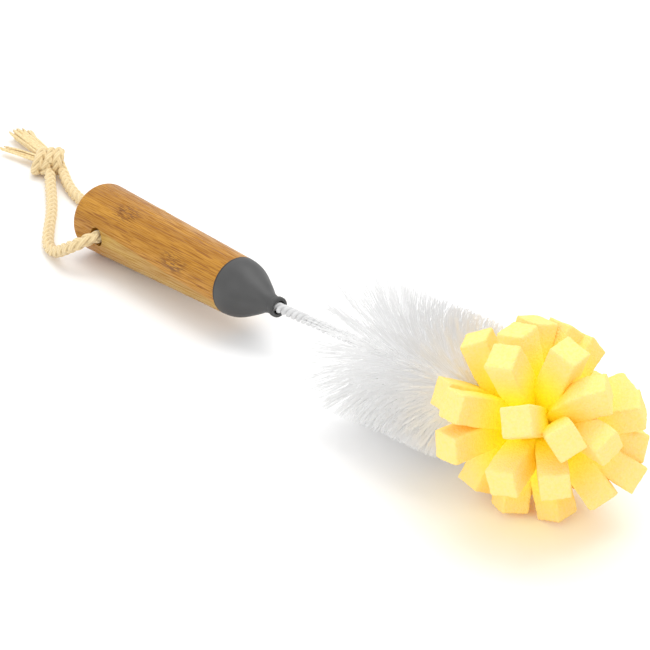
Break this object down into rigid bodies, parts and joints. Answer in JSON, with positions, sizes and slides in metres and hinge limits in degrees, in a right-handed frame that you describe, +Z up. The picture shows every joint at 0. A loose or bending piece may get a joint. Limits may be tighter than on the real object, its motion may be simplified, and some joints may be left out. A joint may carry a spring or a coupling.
{
  "type": "bottle brush",
  "caption": "Hand-held cleaning brush: tapered wooden handle with a hanging cord loop, dark ferrule, twisted white wire stem, round nylon brush and a ball of foam fingers.",
  "frame": {"origin": "On the surface that the brush lies on, under the middle of the brush's own box, without the free cord.", "axes": "+X along the brush from the handle to the foam ball, +Z up, +Y to the left when looking along +X."},
  "size_m": [0.4378, 0.076, 0.0689],
  "materials": {
    "bamboo": "turned bamboo, satin lacquer",
    "dark_plastic": "satin moulded plastic",
    "coated_wire": "white plastic coating over steel wire",
    "nylon": "clear-white nylon filament",
    "foam": "open-cell foam",
    "cotton_cord": "braided undyed cotton"
  },
  "bodies": {
    "brush": {"bamboo_handle": "bamboo", "ferrule": "dark_plastic", "stem_wire_leg_a": "coated_wire", "stem_wire_leg_b": "coated_wire", "stem_wire_eye": "coated_wire", "nylon_bristles": "nylon", "foam_strip_01": "foam", "foam_strip_02": "foam", "foam_strip_03": "foam", "foam_strip_04": "foam", "foam_strip_05": "foam", "foam_strip_06": "foam", "foam_strip_07": "foam", "foam_strip_08": "foam", "foam_strip_09": "foam", "foam_strip_10": "foam", "foam_strip_11": "foam", "foam_strip_12": "foam", "foam_strip_13": "foam", "foam_strip_14": "foam", "foam_strip_15": "foam", "foam_strip_16": "foam", "foam_strip_17": "foam"},
    "cord_loop": {"cord_in_hole": "cotton_cord", "cord_near_limb": "cotton_cord", "cord_far_limb": "cotton_cord", "cord_knot": "cotton_cord", "frayed_tuft": "cotton_cord", "frayed_wisp": "cotton_cord"}
  },
  "joints": [
    {"name": "loop_swing", "type": "hinge", "parent": "brush", "child": "cord_loop", "pos_m": [-0.1332, 0, 0.0157], "axis": [0, 1, 0], "range_deg": [0, 150]}
  ]
}
